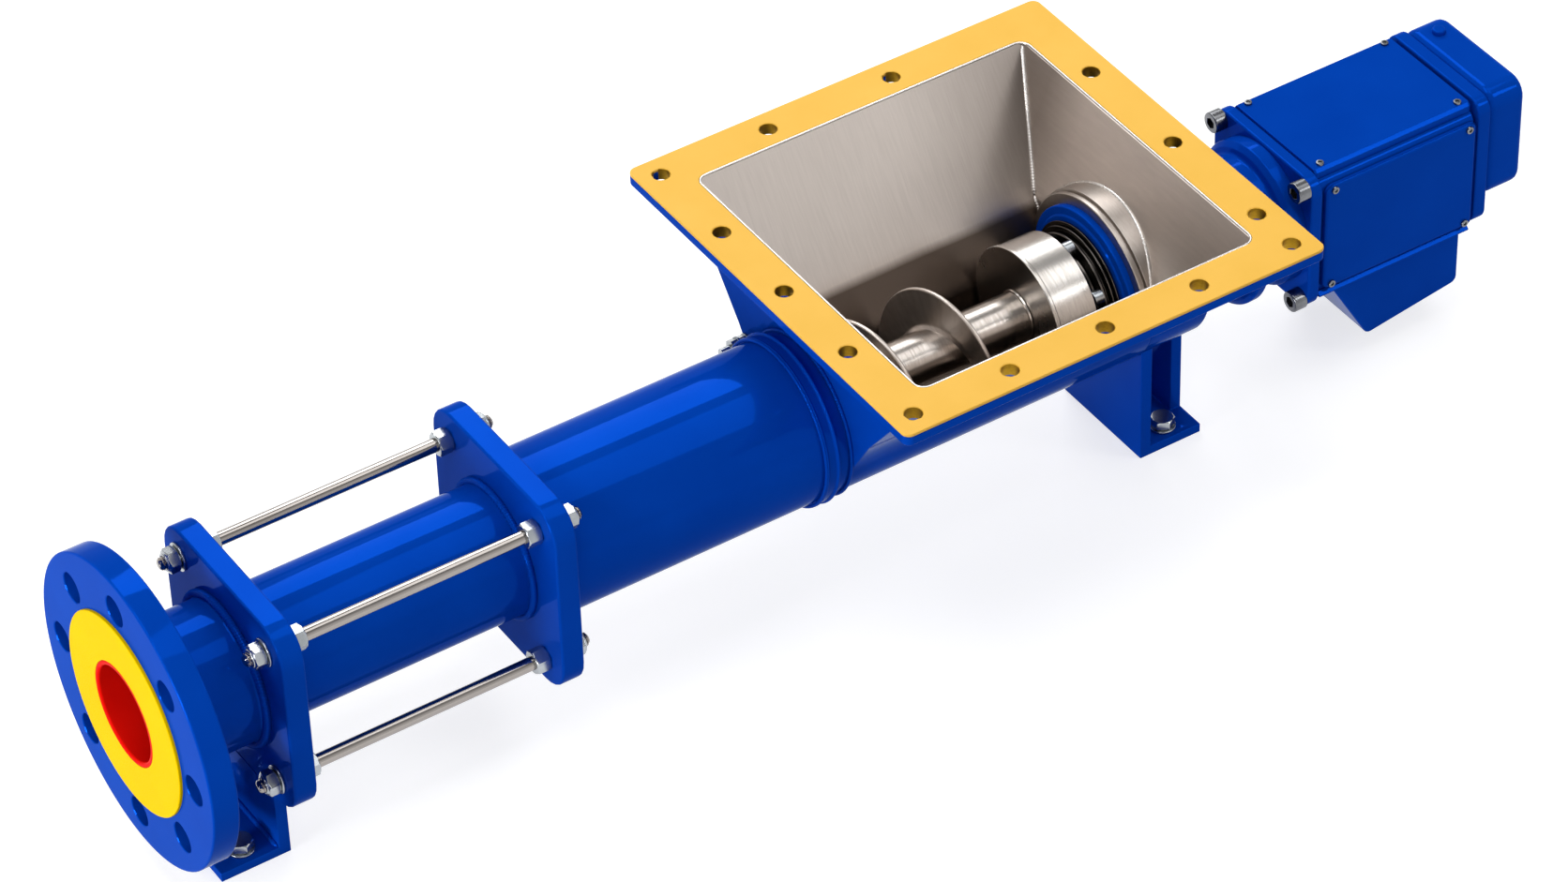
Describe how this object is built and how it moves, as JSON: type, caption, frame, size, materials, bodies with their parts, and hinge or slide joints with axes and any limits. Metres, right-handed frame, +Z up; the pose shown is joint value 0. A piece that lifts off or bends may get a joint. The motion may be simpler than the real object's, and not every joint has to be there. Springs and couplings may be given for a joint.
{
  "type": "hopper-fed progressive cavity pump",
  "caption": "Progressive cavity pump with a square feed hopper, auger and coupling rod, flanged lined discharge, clamped stator tube, feet and a square-bodied motor.",
  "frame": {"origin": "centre of the discharge bore at the flange's raised face", "axes": "+X along the pump axis from the discharge towards the motor, +Z up out of the hopper, +Y to the side away from the motor's side cover"},
  "size_m": [0.9082, 0.28, 0.2025],
  "materials": {
    "blue_enamel": "glossy",
    "yellow_face": "smooth",
    "red_lining": "satin",
    "amber_gasket": "smooth",
    "black_rubber": "matte",
    "stainless": "brushed",
    "bright_steel": "bright",
    "zinc_steel": "zinc plated",
    "bearing_steel": "ground",
    "dark_steel": "oiled"
  },
  "bodies": {
    "pump": {"discharge_flange": "blue_enamel", "face_ring": "yellow_face", "bore_lining": "red_lining", "discharge_neck": "blue_enamel", "front_plate": "blue_enamel", "front_foot": "blue_enamel", "foot_bolts": "zinc_steel", "stator_tube": "blue_enamel", "stator_rubber": "black_rubber", "tie_rods": "bright_steel", "tie_rod_nuts": "zinc_steel", "tie_rod_washers": "zinc_steel", "tie_rod_collars": "bright_steel", "rear_plate": "blue_enamel", "feed_tube": "blue_enamel", "feed_collar": "blue_enamel", "hopper_shell": "blue_enamel", "hopper_rim": "blue_enamel", "rim_gasket": "amber_gasket", "hopper_liner": "stainless", "earthing_stud": "zinc_steel", "earthing_nuts": "zinc_steel", "rear_foot": "blue_enamel", "seal_ring": "stainless", "gland_ring": "blue_enamel", "bearing_housing": "blue_enamel", "shaft_bearings": "bearing_steel", "seal_seat": "bearing_steel", "lantern": "blue_enamel", "motor_flange": "blue_enamel", "motor_flange_screws": "zinc_steel", "motor_body": "blue_enamel", "motor_top_cover": "blue_enamel", "motor_side_cover": "blue_enamel", "cover_screws": "zinc_steel", "motor_band": "blue_enamel", "rear_cap": "blue_enamel", "vent_plug": "blue_enamel", "terminal_box": "blue_enamel"},
    "drive": {"drive_shaft": "bright_steel", "drive_hub": "dark_steel", "hub_screws": "zinc_steel", "seal_runner": "bright_steel", "shaft_coupling": "dark_steel"},
    "orbit": {"rotor_joint_sleeve": "black_rubber"},
    "rotor": {"rotor": "bright_steel"},
    "rod": {"coupling_rod": "stainless", "feed_auger": "stainless", "auger_drum": "stainless"}
  },
  "joints": [
    {"name": "drive_spin", "type": "hinge", "parent": "pump", "child": "drive", "pos_m": [0.6, 0, 0], "axis": [1, 0, 0], "continuous": true},
    {"name": "rotor_orbit", "type": "hinge", "parent": "pump", "child": "orbit", "pos_m": [0.276, 0, 0], "axis": [1, 0, 0], "continuous": true},
    {"name": "rotor_spin", "type": "hinge", "parent": "orbit", "child": "rotor", "pos_m": [0.276, 0, 0.006], "axis": [1, 0, 0], "continuous": true},
    {"name": "rod_spin", "type": "hinge", "parent": "orbit", "child": "rod", "pos_m": [0.5996, 0, 0], "axis": [0.9998, 0, -0.0185], "continuous": true}
  ],
  "couplings": [
    {"joint": "rotor_orbit", "follows": "drive_spin", "ratio": -1},
    {"joint": "rotor_spin", "follows": "drive_spin", "ratio": 2},
    {"joint": "rod_spin", "follows": "drive_spin", "ratio": 2}
  ]
}
